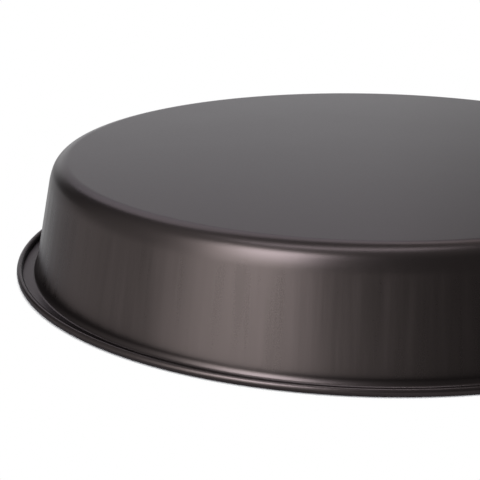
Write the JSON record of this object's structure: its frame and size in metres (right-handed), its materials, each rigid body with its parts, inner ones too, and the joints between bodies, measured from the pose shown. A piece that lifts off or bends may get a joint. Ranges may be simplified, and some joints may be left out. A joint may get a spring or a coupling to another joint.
{
  "type": "deep dish pizza pan",
  "caption": "Round deep pan of dark coated sheet steel with a sloping wall, rounded base corner and wired rolled rim, stored standing upside down on its rim.",
  "frame": {"origin": "on the pan's axis, in the plane that the rim stands on", "axes": "+Z along the pan's axis, from the mouth to the outside of the base, so the pan stands upside down as pictured"},
  "size_m": [0.322, 0.322, 0.0513],
  "materials": {
    "coated_sheet": "dark brown-grey satin baking coat on sheet steel",
    "wire_steel": "plain drawn steel wire"
  },
  "bodies": {
    "root": {"pan_shell": "coated_sheet", "rim_wire": "wire_steel"}
  },
  "joints": []
}
